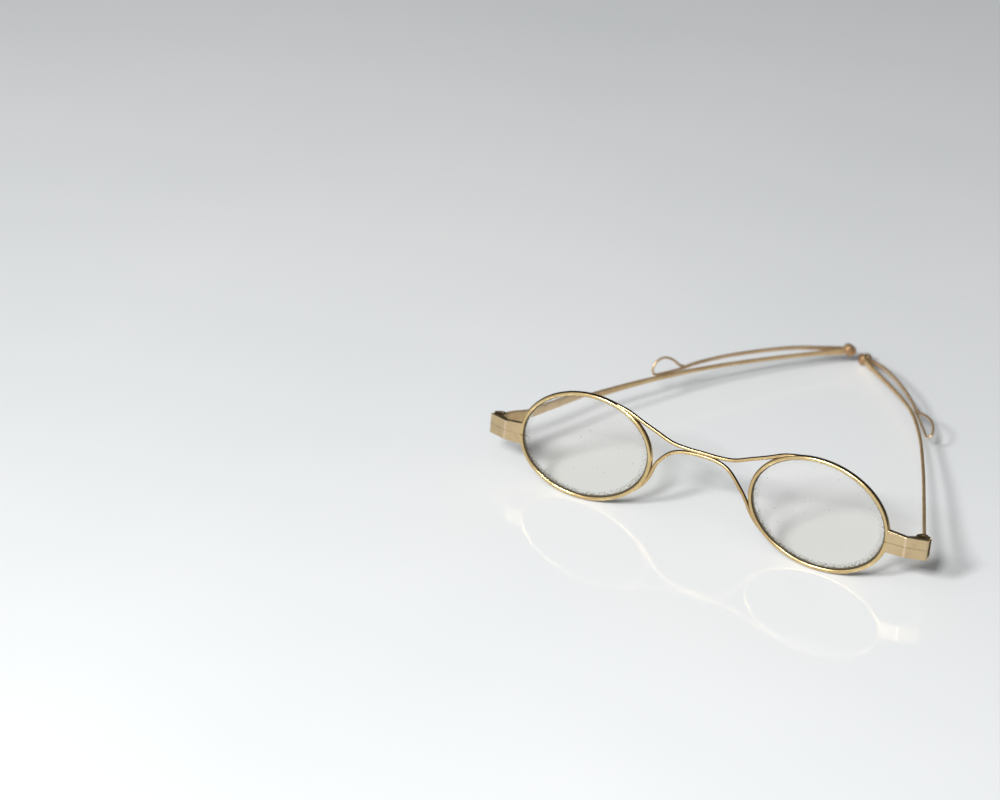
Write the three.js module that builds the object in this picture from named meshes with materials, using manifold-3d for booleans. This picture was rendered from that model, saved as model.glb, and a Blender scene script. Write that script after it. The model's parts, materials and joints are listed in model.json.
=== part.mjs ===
// Antique wire spectacles with turn-pin temples, lying on a table.
// Millimetres, +Z up, +Y from the front towards the rear ends of the temples, +X to the wearer's left.
// The lenses are set in oval eyewires. Two wires form the bridge. Each end piece is split into an upper
// and a lower half that a vertical screw holds together, and the screw is also the temple's hinge pin.
// A turn pin at the rear of each temple carries a rear section, folded forward along the temple's outside.

import * as THREE from "three";
import { mergeVertices } from "three/addons/utils/BufferGeometryUtils.js";
import Module from "manifold-3d";

const wasm = await Module();
wasm.setup();

const degrees = THREE.MathUtils.degToRad;

// ---- Driving dimensions, in millimetres and degrees ----

const frontLean = 9.95;            // the front leans back from upright
const eye = {
  semiMajor: 18.07, semiMinor: 13.74,  // centreline of the eyewire
  halfSpacing: 31.6,               // lens centre to the middle of the bridge
  droop: 7.1,                      // the outer end of each oval hangs down
};
const eyewire = { width: 1.06, depth: 1.5, grooveWidth: 0.9, grooveDepth: 0.4, splitGap: 0.3, steps: 48 };
const lens = { centreThickness: 1.3, edgeThickness: 0.8, bevel: 0.5, tipInset: 0.27, segments: 44 };
const bridge = {
  wireRadius: 0.38, wireSides: 8, steps: 36,
  upperHeight: 7.05, lowerHeight: 6.18,  // of the two wires in the middle, above the lens centres
  rimGap: 0.12,                          // left free for solder between a wire and the eyewire
};
const lug = {
  innerEdge: 48.9, fold: 54.3, outerEdge: 59.45,
  frontFace: -0.72, outerFrontFace: 1.05, backFace: 0.5, endFaceBack: 3,
  topAtRim: 1.42, top: 0.88, splitHeight: -1.72, bottom: -4.32,
  splitGap: 0.14, rimGap: 0.2,
};
const hinge = {
  across: 57.4, behind: 2.7,       // hinge axis: from the middle, and behind the lens plane
  radius: 1.55, boreRadius: 0.68, segments: 20,
  middleRadius: 1.3, middleHeight: 1.7,  // the temple's knuckle, between the end piece's two
  knuckleGap: 0.14, radialGap: 0.28,
};
const screw = { shankRadius: 0.5, headRadius: 0.92, headHeight: 0.5, slotWidth: 0.26, slotDepth: 0.25 };
const temple = {
  chord: 107, thickness: 0.85,     // hinge axis to turn pin, measured straight
  endFlat: 3.0, steps: 30, eyeRadius: 1.55,
};
const rear = {
  thickness: 0.65, height: 1.15, waistHeight: 0.9, eyeRadius: 1.5,
  wireRadius: 0.34, wireSides: 8, loopSteps: 26,
};
const turnPin = {
  shankRadius: 0.5, boreRadius: 0.68, headRadius: 1.6, headHeight: 0.75,
  sideGap: 0.1, spacerThickness: 0.25, washerRadius: 1.35, washerThickness: 0.22, segments: 18,
};

// The two temples are bent a little differently: the left one rises as it folds in and the right one
// sinks, so the left passes over the right. A bow lists outward and rearward places of the strip's centre,
// measured from the hinge axis and along the chord to the turn pin, and rise lifts the middle of the strip.
// An arch lists parts of the rear section's length and how far its middle is above the turn pin there. The
// loop is twisted outward and pitched down.
const rightSide = {
  sign: 1, chordAngle: 30.2, inwardRise: -0.06, rearFall: 0.0784,
  bow: [[0.5, 0], [3.5, 20], [6.3, 40], [8.3, 60], [8.1, 75], [5.3, 88], [2, 99.5]],
  rise: 0, rearLength: 35.2, arch: [[0, 0], [0.15, 1.1], [0.4, 2.2], [0.6, 2.1], [0.8, 1.4], [1, 0.35]],
  loop: { length: 13.2, height: 2.8, twist: 50, pitch: 8 },
};
const leftSide = {
  sign: -1, chordAngle: 33.1, inwardRise: 0.08, rearFall: 0.1318,
  bow: [[0.3, 0], [2.5, 20], [4.9, 40], [5.9, 60], [5.3, 75], [3.9, 88], [1.8, 99.5]],
  rise: 0.8, rearLength: 48.8, arch: [[0, 0], [0.15, 0.95], [0.4, 2.2], [0.7, 2.6], [0.88, 2.3], [1, 1.6]],
  loop: { length: 9.6, height: 4.3, twist: 0, pitch: 3 },
};

const beyond = 40;                 // reaches past every piece, for cutting and trimming

const colours = { gold: "#c8b07c", darkGold: "#8d7347", glass: "#e9eeea" };

// ---- Materials ----

function gold(colour = colours.gold) {
  return new THREE.MeshStandardMaterial({ color: colour, roughness: 0.28, metalness: 1 });
}

function glass() {
  return new THREE.MeshStandardMaterial({
    color: colours.glass, roughness: 0.03, metalness: 0, transparent: true, opacity: 0.25,
  });
}

// ---- Solids ----

function toSolid(geometry) {
  const bare = geometry.index ? geometry.clone() : geometry;
  bare.deleteAttribute("normal");
  bare.deleteAttribute("uv");
  const merged = mergeVertices(bare, 1e-5);
  return new wasm.Manifold(new wasm.Mesh({
    numProp: 3,
    vertProperties: new Float32Array(merged.attributes.position.array),
    triVerts: new Uint32Array(merged.index.array),
  }));
}

function toGeometry(solid) {
  const mesh = solid.getMesh();
  const geometry = new THREE.BufferGeometry();
  geometry.setAttribute("position", new THREE.BufferAttribute(mesh.vertProperties, 3));
  geometry.setIndex(new THREE.BufferAttribute(mesh.triVerts, 1));
  geometry.computeVertexNormals();
  return geometry;
}

// The left-hand copy of a piece that is drawn for the right-hand side.
function mirrored(geometry) {
  const copy = (geometry.index ? geometry.clone() : mergeVertices(geometry)).scale(-1, 1, 1);
  const index = copy.index;
  for (let i = 0; i < index.count; i += 3) {
    const second = index.getX(i + 1);
    index.setX(i + 1, index.getX(i + 2));
    index.setX(i + 2, second);
  }
  copy.computeVertexNormals();
  return copy;
}

function named(name, geometry, material, side = rightSide) {
  const mesh = new THREE.Mesh(side.sign > 0 ? geometry : mirrored(geometry), material);
  mesh.name = name;
  return mesh;
}

function polygon(points) {
  return new THREE.Shape(points.map(([x, y]) => new THREE.Vector2(x, y)));
}

function slab(shape, depth, base = 0) {
  return new THREE.ExtrudeGeometry(shape, { depth, bevelEnabled: false, curveSegments: 12 }).translate(0, 0, base);
}

// A shape drawn in x (across) and z (up), with a thickness along y.
function upright(shape, from, to) {
  return slab(shape, to - from, -to).rotateX(Math.PI / 2);
}

function swept(shape, curve, steps) {
  return new THREE.ExtrudeGeometry(shape, { steps, bevelEnabled: false, extrudePath: curve, curveSegments: 4 });
}

function roundSection(radius, sides) {
  const corners = Array.from({ length: sides }, (_, i) => (2 * Math.PI * i) / sides);
  return polygon(corners.map((angle) => [radius * Math.cos(angle), radius * Math.sin(angle)]));
}

// A turned piece whose axis is z. The profile lists [radius, height], starting and ending on the axis.
function turned(profile, segments) {
  const points = profile.map(([radius, height]) => new THREE.Vector2(radius, height));
  return new THREE.LatheGeometry(points, segments).rotateX(Math.PI / 2);
}

function cylinder(radius, low, high, segments) {
  return turned([[0, low], [radius, low], [radius, high], [0, high]], segments);
}

// A washer about z: its profile closes on itself.
function ring(inner, outer, low, high, segments) {
  return turned([[inner, low], [outer, low], [outer, high], [inner, high], [inner, low]], segments);
}

// ---- Eyewire and lens, in the frame of the leaning front: x across, y back, z up in the front's plane ----

class OvalArc extends THREE.Curve {
  constructor(from, to) {
    super();
    this.from = from;
    this.to = to;
  }

  getPoint(t) {
    return ovalPoint(THREE.MathUtils.lerp(this.from, this.to, t));
  }
}

// A point of the right eyewire's centreline, moved outward by outset. Angle 0 is the temple side.
function ovalPoint(angle, outset = 0) {
  const droop = degrees(eye.droop);
  const x = eye.semiMajor * Math.cos(angle);
  const z = eye.semiMinor * Math.sin(angle);
  const normal = new THREE.Vector2(x / eye.semiMajor ** 2, z / eye.semiMinor ** 2).setLength(outset || 1e-9);
  const point = new THREE.Vector2(x, z).add(normal).rotateAround(new THREE.Vector2(), -droop);
  return new THREE.Vector3(eye.halfSpacing + point.x, 0, point.y);
}

// The angle where the eyewire meets the split between the end piece's halves.
function splitAngle() {
  const droop = degrees(eye.droop);
  return Math.asin((lug.splitHeight + eye.semiMajor * Math.sin(droop)) / (eye.semiMinor * Math.cos(droop)));
}

// Drawn with x to the front and y outward.
function eyewireSection() {
  const halfDepth = eyewire.depth / 2;
  const halfWidth = eyewire.width / 2;
  const shape = new THREE.Shape();
  shape.moveTo(halfDepth, -halfWidth * 0.55);
  shape.lineTo(halfDepth, 0);
  shape.absellipse(0, 0, halfDepth, halfWidth, 0, Math.PI, false);
  shape.lineTo(-halfDepth, -halfWidth * 0.55);
  shape.lineTo(-halfDepth * 0.85, -halfWidth);
  shape.lineTo(-eyewire.grooveWidth / 2, -halfWidth);
  shape.lineTo(0, -halfWidth + eyewire.grooveDepth);
  shape.lineTo(eyewire.grooveWidth / 2, -halfWidth);
  shape.lineTo(halfDepth * 0.85, -halfWidth);
  return shape;
}

function eyewireGeometry() {
  const halfGap = eyewire.splitGap / 2 / eye.semiMinor;
  const start = splitAngle() + halfGap;
  const path = new OvalArc(start, start + 2 * Math.PI - 2 * halfGap);
  return swept(eyewireSection(), path, eyewire.steps);
}

function lensGeometry() {
  const radius = eye.semiMajor - lens.tipInset;
  const halfCentre = lens.centreThickness / 2;
  const halfEdge = lens.edgeThickness / 2;
  const edge = radius - lens.bevel;
  const between = (halfCentre * 2 + halfEdge) / 3;
  const profile = [
    [0, -halfCentre], [edge * 0.58, -between], [edge, -halfEdge],
    [radius, 0],
    [edge, halfEdge], [edge * 0.58, between], [0, halfCentre],
  ];
  const narrow = (eye.semiMinor - lens.tipInset) / radius;
  return turned(profile, lens.segments)
    .rotateX(Math.PI / 2)
    .scale(1, 1, narrow)
    .rotateY(degrees(eye.droop))
    .translate(eye.halfSpacing, 0, 0);
}

// ---- Bridge ----

// Both ends of a bridge wire run along the nose side of an eyewire, on its outer edge.
// The angles are places on the eyewire and the pairs are places across and up, towards the middle.
const upperRim = [111, 116, 122];
const upperHalf = [[16, 10.45], [12.4, 8.85], [8.3, 7.42], [4.2, 7.03]];
const lowerRim = [199, 194, 188];
const lowerHalf = [[12.5, 0.2], [11.15, 1.95], [9.65, 3.5], [7.8, 4.78], [5.4, 5.7], [2.8, 6.12]];

function bridgeWire(rimAngles, between, middle) {
  const outset = eyewire.width / 2 + bridge.rimGap + bridge.wireRadius;
  const half = rimAngles.map((angle) => ovalPoint(degrees(angle), outset));
  half.push(...between.map(([x, z]) => new THREE.Vector3(x, 0, z)));
  const other = half.map((point) => point.clone().setX(-point.x)).reverse();
  const curve = new THREE.CatmullRomCurve3([...half, new THREE.Vector3(0, 0, middle), ...other]);
  return swept(roundSection(bridge.wireRadius, bridge.wireSides), curve, bridge.steps);
}

// ---- End pieces and hinges, drawn for the right-hand side ----

// The matrix of a hinge in the part's frame at rest: z is the hinge axis, y runs along the temple's chord
// and x points outward.
function hingeMatrix(side) {
  const angle = degrees(side.chordAngle);
  const axis = new THREE.Vector3(side.inwardRise, side.rearFall, 1).normalize();
  const fall = Math.sin(angle) * side.inwardRise - Math.cos(angle) * side.rearFall;
  const along = new THREE.Vector3(-Math.sin(angle), Math.cos(angle), fall).normalize();
  const outward = new THREE.Vector3().crossVectors(along, axis);
  const place = new THREE.Vector3(hinge.across, hinge.behind, lug.splitHeight).applyMatrix4(frontMatrix);
  return new THREE.Matrix4().makeBasis(outward, along, axis).setPosition(place);
}

const frontMatrix = new THREE.Matrix4().makeRotationX(degrees(-frontLean));

const halfBarrel = (lug.top - lug.bottom) / 2;

function endPieceGeometry(side, isUpper) {
  const toFront = frontMatrix.clone().invert().multiply(hingeMatrix(side));
  const inHinge = (geometry) => toSolid(geometry.applyMatrix4(toFront));
  const split = lug.splitHeight + (isUpper ? lug.splitGap / 2 : -lug.splitGap / 2);
  const plan = polygon([
    [lug.innerEdge, lug.frontFace], [lug.fold, lug.frontFace], [lug.outerEdge, lug.outerFrontFace],
    [lug.outerEdge, lug.endFaceBack], [hinge.across + hinge.radius * 0.8, hinge.behind + hinge.radius * 0.6],
    [hinge.across, hinge.behind],
    [hinge.across - hinge.radius * 0.9, hinge.behind - 0.9], [lug.fold, lug.backFace], [lug.innerEdge, lug.backFace],
  ]);
  const elevation = isUpper
    ? polygon([[lug.innerEdge, split], [lug.outerEdge + 1, split], [lug.outerEdge + 1, lug.top],
      [lug.fold, lug.top], [lug.innerEdge, lug.topAtRim]])
    : polygon([[lug.innerEdge, lug.bottom], [lug.outerEdge + 1, lug.bottom], [lug.outerEdge + 1, split],
      [lug.innerEdge, split]]);
  const plate = toSolid(slab(plan, 2 * beyond, -beyond)).intersect(toSolid(upright(elevation, -beyond, beyond)));

  const innerEnd = hinge.middleHeight / 2 + hinge.knuckleGap;
  const [low, high] = isUpper ? [innerEnd, halfBarrel] : [-halfBarrel, -innerEnd];
  const knuckle = inHinge(cylinder(hinge.radius, low, high, hinge.segments));
  const middleRoom = inHinge(cylinder(hinge.middleRadius + hinge.radialGap, -innerEnd, innerEnd, hinge.segments));
  const bore = inHinge(cylinder(hinge.boreRadius, -halfBarrel - 2, halfBarrel + 2, hinge.segments));
  let solid = plate.subtract(middleRoom).add(knuckle).subtract(bore);
  if (isUpper) {
    const seat = screw.headHeight + 0.12;
    const recess = cylinder(screw.headRadius + 0.15, halfBarrel - seat, halfBarrel + 2, hinge.segments);
    solid = solid.subtract(inHinge(recess));
  }

  const half = eyewire.width / 2 + lug.rimGap;
  const deep = eyewire.depth / 2 + lug.rimGap;
  const cutter = polygon([[-deep, -half], [deep, -half], [deep, half], [-deep, half]]);
  const nearRim = new OvalArc(splitAngle() - 0.6, splitAngle() + 0.6);
  return toGeometry(solid.subtract(toSolid(swept(cutter, nearRim, 24))));
}

function hingeScrewGeometry() {
  const top = halfBarrel - 0.06;
  const underHead = top - screw.headHeight;
  const tip = -halfBarrel + 0.1;
  const profile = [
    [0, tip], [screw.shankRadius * 0.7, tip], [screw.shankRadius, tip + 0.2],
    [screw.shankRadius, underHead], [screw.headRadius, underHead],
    [screw.headRadius, top - 0.12], [screw.headRadius - 0.15, top], [0, top],
  ];
  const slot = new THREE.BoxGeometry(screw.slotWidth, 4, screw.slotDepth * 2).translate(0, 0, top);
  return toGeometry(toSolid(turned(profile, hinge.segments)).subtract(toSolid(slot)));
}

// ---- Temple, in the hinge's frame: x outward, y along the chord, z along the hinge axis ----

// Centreline of the bowed strip seen from above, with a straight end for the turn pin.
function templePath(side) {
  const end = new THREE.Vector3(0, temple.chord, 0);
  const places = side.bow.map(([outward, along]) => new THREE.Vector3(outward, along, 0));
  const endDirection = end.clone().sub(places.at(-1)).normalize();
  const bowEnd = end.clone().addScaledVector(endDirection, -temple.endFlat);
  const bow = new THREE.CatmullRomCurve3([...places, bowEnd]);
  return { points: bow.getSpacedPoints(temple.steps), end, endDirection };
}

// The outline, seen from above, of a strip that follows points.
function stripOutline(points, thickness) {
  const sideways = points.map((point, i) => {
    const before = points[Math.max(i - 1, 0)];
    const after = points[Math.min(i + 1, points.length - 1)];
    const along = after.clone().sub(before).normalize();
    return new THREE.Vector2(along.y, -along.x).multiplyScalar(thickness / 2);
  });
  const outer = points.map((point, i) => [point.x + sideways[i].x, point.y + sideways[i].y]);
  const inner = points.map((point, i) => [point.x - sideways[i].x, point.y - sideways[i].y]);
  return polygon([...outer, ...inner.reverse()]);
}

// A shape drawn in y (along) and z (up), with a thickness along x.
function sideways(shape, from, to) {
  return slab(shape, to - from, from).rotateX(Math.PI / 2).rotateZ(Math.PI / 2);
}

// A tapered side view from places along it, each with the height of its middle and its own height.
function taperOutline(places) {
  const top = places.map(([along, middle, height]) => [along, middle + height / 2]);
  const bottom = places.map(([along, middle, height]) => [along, middle - height / 2]).reverse();
  return polygon([...top, ...bottom]);
}

// The frame at the turn pin: z is the pin's axis, pointing outward, x runs on along the temple's end.
function pinMatrix(side) {
  const { end, endDirection } = templePath(side);
  const outward = new THREE.Vector3(endDirection.y, -endDirection.x, 0);
  const across = new THREE.Vector3().crossVectors(outward, endDirection);
  return new THREE.Matrix4().makeBasis(endDirection, across, outward).setPosition(end);
}

// Tall at the hinge, slim past the middle, wider again at the turn pin.
function templeGeometry(side) {
  const { points, end } = templePath(side);
  const path = [...points, end];
  const strip = toSolid(slab(stripOutline(path, temple.thickness), 2 * beyond, -beyond));
  const chord = temple.chord;
  const heights = [
    [1, 4.5], [4, 4.3], [8, 3.0], [14, 2.3], [30, 1.8], [50, 1.35], [72, 1.1],
    [chord - 9, 1.3], [chord - 3, 1.9], [chord + 1, 1.9],
  ];
  const taper = taperOutline(heights.map(([along, height]) => {
    const part = THREE.MathUtils.clamp(along / chord, 0, 1);
    return [along, side.rise * Math.sin(Math.PI * part) ** 2, height];
  }));
  const room = cylinder(hinge.radius + hinge.radialGap, -beyond, beyond, hinge.segments);
  const body = strip.intersect(toSolid(sideways(taper, -beyond, beyond))).subtract(toSolid(room));

  const half = hinge.middleHeight / 2;
  const neckOutline = polygon([[0, -half], [5, -half], [5, half], [0, half]]);
  const neck = strip.intersect(toSolid(sideways(neckOutline, -beyond, beyond)));
  const knuckle = toSolid(cylinder(hinge.middleRadius, -half, half, hinge.segments));
  const bore = toSolid(cylinder(hinge.boreRadius, -beyond, beyond, hinge.segments));

  const atPin = (geometry) => toSolid(geometry.applyMatrix4(pinMatrix(side)));
  const halfThick = temple.thickness / 2;
  const eyeDisc = atPin(cylinder(temple.eyeRadius, -halfThick, halfThick, turnPin.segments));
  const pinBore = atPin(cylinder(turnPin.boreRadius, -beyond, beyond, turnPin.segments));
  return toGeometry(body.add(neck).add(knuckle).subtract(bore).add(eyeDisc).subtract(pinBore));
}

// ---- Turn pin and washers, about z, with z = 0 at the middle of the temple's thickness ----

const spacerRoom = turnPin.spacerThickness + 2 * turnPin.sideGap;
const rearMiddle = temple.thickness / 2 + spacerRoom + rear.thickness / 2;

function turnPinGeometry() {
  const innerFace = -temple.thickness / 2 - turnPin.sideGap;
  const outerFace = rearMiddle + rear.thickness / 2 + turnPin.washerThickness + 2 * turnPin.sideGap;
  const { shankRadius, headRadius, headHeight } = turnPin;
  const profile = [
    [0, innerFace - headHeight], [headRadius * 0.55, innerFace - headHeight * 0.86],
    [headRadius * 0.9, innerFace - headHeight * 0.45], [headRadius, innerFace],
    [shankRadius, innerFace], [shankRadius, outerFace],
    [headRadius * 0.72, outerFace], [headRadius * 0.62, outerFace + headHeight * 0.4],
    [headRadius * 0.36, outerFace + headHeight * 0.62], [0, outerFace + headHeight * 0.7],
  ];
  return turned(profile, turnPin.segments);
}

function spacerGeometry() {
  const low = temple.thickness / 2 + turnPin.sideGap;
  return ring(turnPin.boreRadius, turnPin.washerRadius, low, low + turnPin.spacerThickness, turnPin.segments);
}

function washerGeometry() {
  const low = rearMiddle + rear.thickness / 2 + turnPin.sideGap;
  return ring(turnPin.boreRadius, turnPin.washerRadius, low, low + turnPin.washerThickness, turnPin.segments);
}

// ---- Rear section, in the turn pin's frame turned so that x runs forward and y up ----

// The rear section's centreline, seen from above: x forward from the pin, y outward. It keeps beside the
// temple.
function rearPath(side) {
  const toPin = pinMatrix(side).invert();
  const beside = templePath(side).points.map((point) => {
    const place = point.clone().applyMatrix4(toPin);
    return new THREE.Vector3(-place.x, place.z + rearMiddle, 0);
  });
  const within = beside.filter(({ x }) => x > temple.endFlat && x < side.rearLength).reverse();
  const last = within.at(-1);
  const next = beside.filter(({ x }) => x >= side.rearLength).at(-1);
  const end = last.clone().lerp(next, (side.rearLength - last.x) / (next.x - last.x));
  return [new THREE.Vector3(0, rearMiddle, 0), ...within, end];
}

// The loop's outline, flat on the side towards the temple, as parts of its length and height.
const loopPlaces = [
  [0.12, 0.25], [0.33, 0.72], [0.6, 1], [0.85, 0.85], [0.98, 0.42], [0.94, 0.08], [0.68, 0], [0.3, -0.02],
];

function rearSectionGeometry(side) {
  const points = rearPath(side);
  const end = points.at(-1);
  const direction = end.clone().sub(points.at(-2)).normalize();
  const strip = toSolid(slab(stripOutline(points, rear.thickness), 2 * beyond, -beyond));
  const taper = taperOutline(side.arch.map(([part, rise]) => {
    const height = THREE.MathUtils.lerp(rear.height, rear.waistHeight, part);
    return [end.x * part, rise, height];
  }));
  let solid = strip.intersect(toSolid(upright(taper, -beyond, beyond)));
  const endRise = side.arch.at(-1)[1];

  // The loop starts and ends inside the strip's tip.
  const outline = loopPlaces.map(([along, up]) => [along * side.loop.length, up * side.loop.height]);
  const loopEnds = [[-0.6, 0.1], ...outline, [-0.6, -0.1]];
  const loopCurve = new THREE.CatmullRomCurve3(loopEnds.map(([x, z]) => new THREE.Vector3(x, 0, z)));
  const loop = swept(roundSection(rear.wireRadius, rear.wireSides), loopCurve, rear.loopSteps)
    .rotateX(-degrees(side.loop.twist))
    .rotateY(degrees(side.loop.pitch))
    .rotateZ(Math.atan2(direction.y, direction.x))
    .translate(end.x, end.y, endRise);
  solid = solid.add(toSolid(loop));

  // The pin's eye. Its axis is y here.
  const [near, far] = [rearMiddle - rear.thickness / 2, rearMiddle + rear.thickness / 2];
  const disc = cylinder(rear.eyeRadius, near, far, turnPin.segments).rotateX(-Math.PI / 2);
  const bore = cylinder(turnPin.boreRadius, -beyond, beyond, turnPin.segments).rotateX(-Math.PI / 2);
  return toGeometry(solid.add(toSolid(disc)).subtract(toSolid(bore)));
}

// ---- Assembly ----

function placedBy(matrix, side) {
  const group = new THREE.Group();
  const mirror = new THREE.Matrix4().makeScale(side.sign, 1, 1);
  const placed = mirror.clone().multiply(matrix).multiply(mirror);
  placed.decompose(group.position, group.quaternion, group.scale);
  group.scale.set(1, 1, 1);
  return group;
}

function frontPieces(side, suffix) {
  return [
    named(`eyewire_${suffix}`, eyewireGeometry(), gold(), side),
    named(`lens_${suffix}`, lensGeometry(), glass(), side),
    named(`endpiece_upper_${suffix}`, endPieceGeometry(side, true), gold(), side),
    named(`endpiece_lower_${suffix}`, endPieceGeometry(side, false), gold(), side),
  ];
}

function templeGroup(side, suffix) {
  const group = placedBy(hingeMatrix(side), side);
  group.add(named(`hinge_screw_${suffix}`, hingeScrewGeometry(), gold(colours.darkGold), side));
  group.add(named(`temple_${suffix}`, templeGeometry(side), gold(), side));

  const pin = placedBy(pinMatrix(side), side);
  pin.add(named(`turn_pin_${suffix}`, turnPinGeometry(), gold(), side));
  pin.add(named(`pin_spacer_${suffix}`, spacerGeometry(), gold(colours.darkGold), side));
  pin.add(named(`pin_washer_${suffix}`, washerGeometry(), gold(colours.darkGold), side));

  // In the pin's frame the rear section's forward is -x and its outward is z.
  const forward = new THREE.Vector3(-1, 0, 0);
  const outward = new THREE.Vector3(0, 0, 1);
  const up = new THREE.Vector3().crossVectors(forward, outward);
  const rearMatrix = new THREE.Matrix4().makeBasis(forward, outward, up);
  const rearGroup = placedBy(rearMatrix, side);
  rearGroup.add(named(`rear_section_${suffix}`, rearSectionGeometry(side), gold(), side));
  pin.add(rearGroup);
  group.add(pin);
  return group;
}

const front = new THREE.Group();
front.rotation.x = degrees(-frontLean);
front.add(...frontPieces(leftSide, "left"), ...frontPieces(rightSide, "right"));
const upperWire = bridgeWire(upperRim, upperHalf, bridge.upperHeight);
const lowerWire = bridgeWire(lowerRim, lowerHalf, bridge.lowerHeight);
front.add(named("bridge_upper_wire", upperWire, gold()));
front.add(named("bridge_lower_wire", lowerWire, gold()));

const spectacles = new THREE.Group();
spectacles.add(front, templeGroup(leftSide, "left"), templeGroup(rightSide, "right"));

// The origin is the middle of the footprint, on the table.
const box = new THREE.Box3().setFromObject(spectacles, true);
const middle = box.getCenter(new THREE.Vector3());
spectacles.position.set(-middle.x, -middle.y, -box.min.z);

export default spectacles;
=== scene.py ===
"""The looks of the antique wire spectacles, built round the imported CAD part.

Shapes are drawn in millimetres for the wearer's left-hand side, which is +X, and mirrored for the other
side. Most driving sizes repeat the CAD's, and every place comes from the CAD's joints and lens boxes.
"""

import json
import math

import bmesh
import bpy
import numpy as np
from mathutils import Matrix, Vector


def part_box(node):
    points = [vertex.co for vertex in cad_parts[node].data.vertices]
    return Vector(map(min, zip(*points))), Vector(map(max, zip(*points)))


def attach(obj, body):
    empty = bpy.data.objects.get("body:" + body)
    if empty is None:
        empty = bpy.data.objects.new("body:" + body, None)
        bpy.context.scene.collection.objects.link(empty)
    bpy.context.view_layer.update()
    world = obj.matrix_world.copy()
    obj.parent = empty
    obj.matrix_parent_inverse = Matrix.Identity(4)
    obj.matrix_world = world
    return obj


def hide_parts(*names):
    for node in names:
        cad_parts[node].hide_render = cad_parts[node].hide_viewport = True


MM = 0.001
SIDES = {"right": 1, "left": -1}

# ---- Driving sizes, in millimetres and degrees ----

FRONT_LEAN = 9.95
EYE_MAJOR, EYE_MINOR, EYE_SPACING, EYE_DROOP = 18.07, 13.74, 31.6, 7.1
RIM_WIDTH, RIM_DEPTH, RIM_GROOVE_WIDTH, RIM_GROOVE_DEPTH, RIM_GAP = 1.06, 1.5, 0.9, 0.4, 0.2
LENS_CENTRE, LENS_EDGE, LENS_BEVEL, LENS_INSET = 1.3, 0.8, 0.5, 0.27
LENS_V_HALF, LENS_V_IN = 0.14, 0.16    # beside the V edge's tip: half the thickness, part of the bevel
BRIDGE_RADIUS, BRIDGE_UPPER, BRIDGE_LOWER = 0.5, 7.03, 6.22
BRIDGE_TAPER = [(0, 0.35), (0.03, 0.78), (0.07, 1), (0.25, 1), (0.5, 1)]    # part of length, part of radius
SOLDER_REACH, SOLDER_HALF_THICKNESS, SOLDER_LEAST, SOLDER_MOST = 3.6, 0.33, 0.1, 0.3
LUG_INNER, LUG_FOLD, LUG_OUTER = 48.4, 54.3, 59.45
LUG_FRONT, LUG_OUTER_FRONT, LUG_BACK, LUG_END_BACK = -0.72, 1.05, 0.5, 3.0
LUG_TOP_AT_RIM, LUG_TOP, LUG_SPLIT, LUG_BOTTOM, LUG_GAP = 1.42, 0.88, -1.72, -4.32, 0.07
LUG_FACET, LUG_CORNER, LUG_EDGE = 0.22, 0.3, 0.2    # the fold's narrow face, the outer corner and rounded edges
CHANNEL_DEPTH, CHANNEL_FRONT, CHANNEL_BACK = 0.45, 1.42, 2.8    # the groove in the outer end face
HINGE_ACROSS, HINGE_BEHIND = 57.4, 2.7
BARREL_RADIUS, BARREL_BORE = 1.55, 0.62
KNUCKLE_RADIUS, KNUCKLE_HEIGHT, KNUCKLE_GAP, KNUCKLE_ROOM = 1.3, 1.7, 0.12, 0.25
SCREW_RADIUS, SCREW_HEAD_RADIUS, SCREW_HEAD, SCREW_SLOT_WIDTH, SCREW_SLOT_DEPTH = 0.5, 0.92, 0.5, 0.26, 0.25
SCREW_TIP, SCREW_TIP_TAPER, THREAD_FROM = 0.12, 0.3, 0.36    # above the bottom of the barrel
THREAD_TURNS, THREAD_PITCH, THREAD_DEPTH = 9, 0.2, 0.06
STRIP_THICKNESS, STRIP_FLAT_END, TEMPLE_EYE = 0.85, 3.0, 1.55
STRIP_FROM, NECK_TO = 1.2, 4.2    # behind the hinge axis
STRIP_ROUNDING, NECK_ROUNDING, REAR_ROUNDING = 0.34, 0.2, 0.22
STRIP_HEIGHTS = [
    (1.9, 4.5), (4, 4.3), (8, 3.0), (14, 2.3), (30, 1.8),
    (50, 1.35), (72, 1.1), (98, 1.3), (104, 1.9), (109, 1.9),
]
REAR_THICKNESS, REAR_HEIGHT, REAR_WAIST, REAR_EYE, LOOP_RADIUS = 0.65, 1.15, 0.9, 1.5, 0.34
LOOP_PLACES = [    # round a wire loop, as parts of its length and height
    (0.12, 0.25), (0.33, 0.72), (0.6, 1), (0.85, 0.85), (0.98, 0.42), (0.94, 0.08), (0.68, 0), (0.3, -0.02),
]
LOOP_SWELL = [(0, 1.15), (0.06, 1.1), (0.16, 1), (0.5, 0.92)]    # part of length, part of radius
PIN_RADIUS, PIN_HEAD_RADIUS, PIN_HEAD, PIN_GAP = 0.5, 1.6, 0.75, 0.06
PIN_ROOM = 0.08    # between a turn pin and the eyes it passes through
SPACER, WASHER_RADIUS, WASHER, WASHER_ROOM = 0.31, 1.35, 0.28, 0.07
REAR_MIDDLE = 1.2    # from the temple's middle to the rear section's, along the turn pin
BOWS = {
    "right": [(0.5, 0), (3.5, 20), (6.3, 40), (8.3, 60), (8.1, 75), (5.3, 88), (2, 99.5)],
    "left": [(0.3, 0), (2.5, 20), (4.9, 40), (5.9, 60), (5.3, 75), (3.9, 88), (1.8, 99.5)],
}
RISES = {"right": 0, "left": 0.8}    # how far the middle of each temple is bent upward
ARCHES = {    # parts of a rear section's length, and the height of its middle there
    "right": [(0, 0), (0.15, 1.1), (0.4, 2.2), (0.6, 2.1), (0.8, 1.4), (1, 0.35)],
    "left": [(0, 0), (0.15, 0.95), (0.4, 2.2), (0.7, 2.6), (0.88, 2.3), (1, 1.6)],
}
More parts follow.
